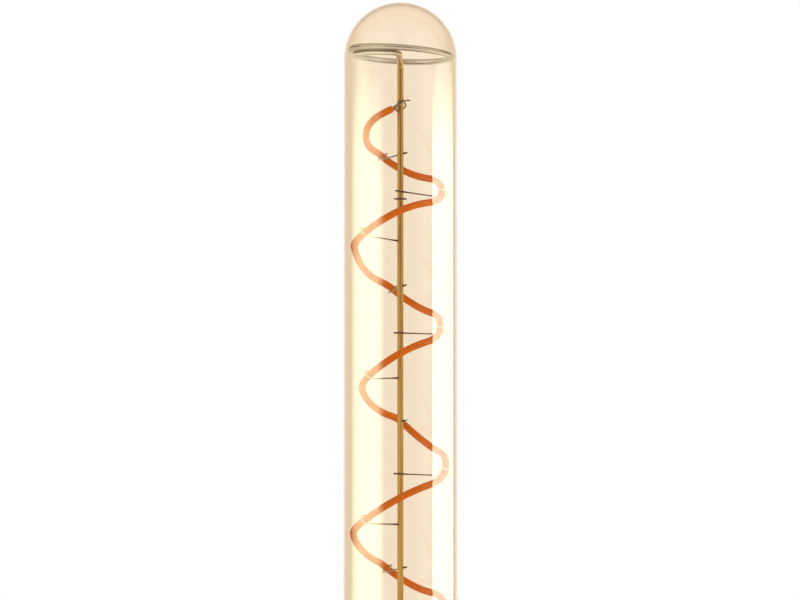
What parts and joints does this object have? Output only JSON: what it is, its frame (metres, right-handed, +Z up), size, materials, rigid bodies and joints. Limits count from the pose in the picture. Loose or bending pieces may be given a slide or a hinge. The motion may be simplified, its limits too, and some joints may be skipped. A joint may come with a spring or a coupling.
{
  "type": "tubular light bulb",
  "caption": "Tall amber glass tube lamp with a screw cap; a spiral orange light strand hangs on wire hooks round a centre wire and lights when powered.",
  "frame": {"origin": "middle of the contact's flat face at the lamp's foot, on the lamp's axis", "axes": "+Z up the lamp's axis from the contact to the dome; -Y is the side that the picture shows, +X its right"},
  "size_m": [0.03, 0.03, 0.3],
  "materials": {
    "amber_glass": "clear amber tint",
    "clear_glass": "clear",
    "cap_metal": "nickel-plated sheet",
    "insulator_black": "glossy",
    "contact_brass": "tinned",
    "cement": "matte",
    "board": "satin",
    "resistor_body": "lacquered",
    "capacitor_sleeve": "glossy sleeve",
    "package_black": "matte",
    "lead_wire": "drawn wire",
    "support_metal": "drawn wire",
    "strand_orange": "satin silicone",
    "tab_metal": "solder-tinned",
    "hook_wire": "drawn wire"
  },
  "bodies": {
    "root": {"bridge_rectifier": "package_black", "cap_cement": "cement", "cap_insulator": "insulator_black", "centre_contact": "contact_brass", "cross_wire": "hook_wire", "driver_board": "board", "driver_chip": "package_black", "fuse_resistor": "resistor_body", "glass_envelope": "amber_glass", "glass_stem": "clear_glass", "light_strand": "strand_orange", "live_lead": "lead_wire", "neutral_lead": "lead_wire", "screw_shell": "cap_metal", "smoothing_capacitor": "capacitor_sleeve", "strand_foot_tab": "tab_metal", "strand_hook_01": "hook_wire", "strand_hook_02": "hook_wire", "strand_hook_03": "hook_wire", "strand_hook_04": "hook_wire", "strand_hook_05": "hook_wire", "strand_hook_06": "hook_wire", "strand_hook_07": "hook_wire", "strand_hook_08": "hook_wire", "strand_hook_09": "hook_wire", "strand_hook_10": "hook_wire", "strand_hook_11": "hook_wire", "strand_hook_12": "hook_wire", "strand_hook_13": "hook_wire", "strand_hook_14": "hook_wire", "strand_hook_15": "hook_wire", "strand_hook_16": "hook_wire", "strand_lead_in": "lead_wire", "strand_top_tab": "tab_metal", "support_lead_in": "lead_wire", "support_wire": "support_metal", "top_tie_wire": "hook_wire"}
  },
  "joints": []
}
